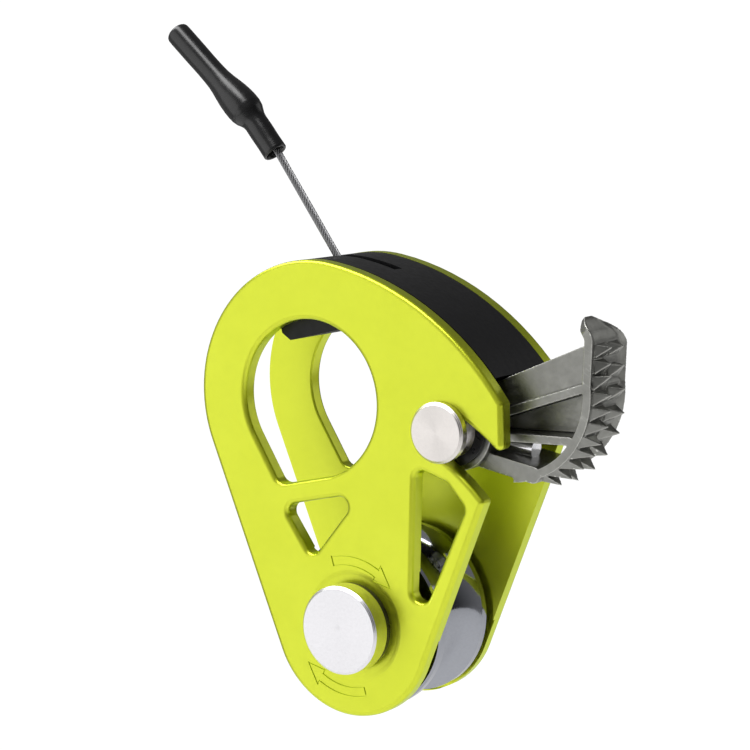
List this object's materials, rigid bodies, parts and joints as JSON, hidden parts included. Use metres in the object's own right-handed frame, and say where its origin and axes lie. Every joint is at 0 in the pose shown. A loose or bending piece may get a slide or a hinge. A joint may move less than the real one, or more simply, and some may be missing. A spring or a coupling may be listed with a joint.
{
  "type": "rope pulley",
  "caption": "Compact rope pulley with a swing side plate, grooved sheave, toothed locking cam and a wire pull that holds the cam open.",
  "frame": {"origin": "on the sheave axle's axis, half way between the two side plates", "axes": "+Z from the sheave axle to the carabiner eye, +X to the side where the cam stands out, +Y from the swing plate to the fixed back plate"},
  "size_m": [0.066, 0.0248, 0.1053],
  "materials": {
    "plate_lime": "satin lime-green anodised aluminium plate",
    "black_bush": "black acetal bushes and washers",
    "spacer_black": "moulded black nylon, fine matte grain",
    "screw_steel": "zinc-plated steel",
    "axle_silver": "turned and satin-faced stainless steel",
    "sheave_alu": "polished turned aluminium",
    "bearing_steel": "ground bearing steel",
    "cage_brass": "machined brass",
    "seal_rubber": "black nitrile shield",
    "pin_silver": "brushed stainless steel",
    "cam_cast": "investment-cast steel, satin grey",
    "spring_steel": "drawn spring steel",
    "ferrule_chrome": "plated crimp ferrule",
    "wire_steel": "stranded stainless steel wire",
    "grip_black": "shrunk black polymer sleeve"
  },
  "bodies": {
    "frame": {"back_plate": "plate_lime", "top_spacer": "spacer_black", "spacer_screws": "screw_steel", "sheave_axle": "axle_silver", "axle_cap": "axle_silver", "thrust_washers": "black_bush", "bearing_inner_race": "bearing_steel", "axle_sleeves": "bearing_steel", "cam_pin": "pin_silver", "cam_bush": "bearing_steel", "cam_washers": "black_bush", "cam_spring": "spring_steel", "channel_wire": "wire_steel"},
    "swing_plate": {"front_plate": "plate_lime", "plate_bush": "black_bush"},
    "sheave_body": {"sheave": "sheave_alu", "bearing_outer_race": "bearing_steel", "bearing_seals": "seal_rubber", "bearing_circlip": "screw_steel"},
    "ball_set": {"bearing_balls": "bearing_steel", "bearing_cage": "cage_brass"},
    "cam_body": {"cam": "cam_cast", "wire_ferrule": "ferrule_chrome", "hub_wire": "wire_steel"},
    "pull_body": {"pull_wire": "wire_steel", "pull_grip": "grip_black", "grip_stop": "ferrule_chrome"}
  },
  "joints": [
    {"name": "plate_swing", "type": "hinge", "parent": "frame", "child": "swing_plate", "pos_m": [0, 0, 0], "axis": [0, 1, 0], "range_deg": [-110, 0]},
    {"name": "sheave_spin", "type": "hinge", "parent": "frame", "child": "sheave_body", "pos_m": [0, 0, 0], "axis": [0, 1, 0], "continuous": true},
    {"name": "ball_spin", "type": "hinge", "parent": "frame", "child": "ball_set", "pos_m": [0, 0, 0], "axis": [0, 1, 0], "continuous": true},
    {"name": "cam_swing", "type": "hinge", "parent": "frame", "child": "cam_body", "pos_m": [0.02128, 0, 0.02509], "axis": [0, 1, 0], "range_deg": [0, 100], "deforming": ["cam_spring", "channel_wire"]},
    {"name": "pull_slide", "type": "slide", "parent": "frame", "child": "pull_body", "axis": [0.3746, 0, -0.9272], "range_m": [0, 0.0092]}
  ],
  "couplings": [
    {"joint": "ball_spin", "follows": "sheave_spin", "ratio": 0.6},
    {"joint": "pull_slide", "follows": "cam_swing", "m_per_rad": 0.00525}
  ]
}
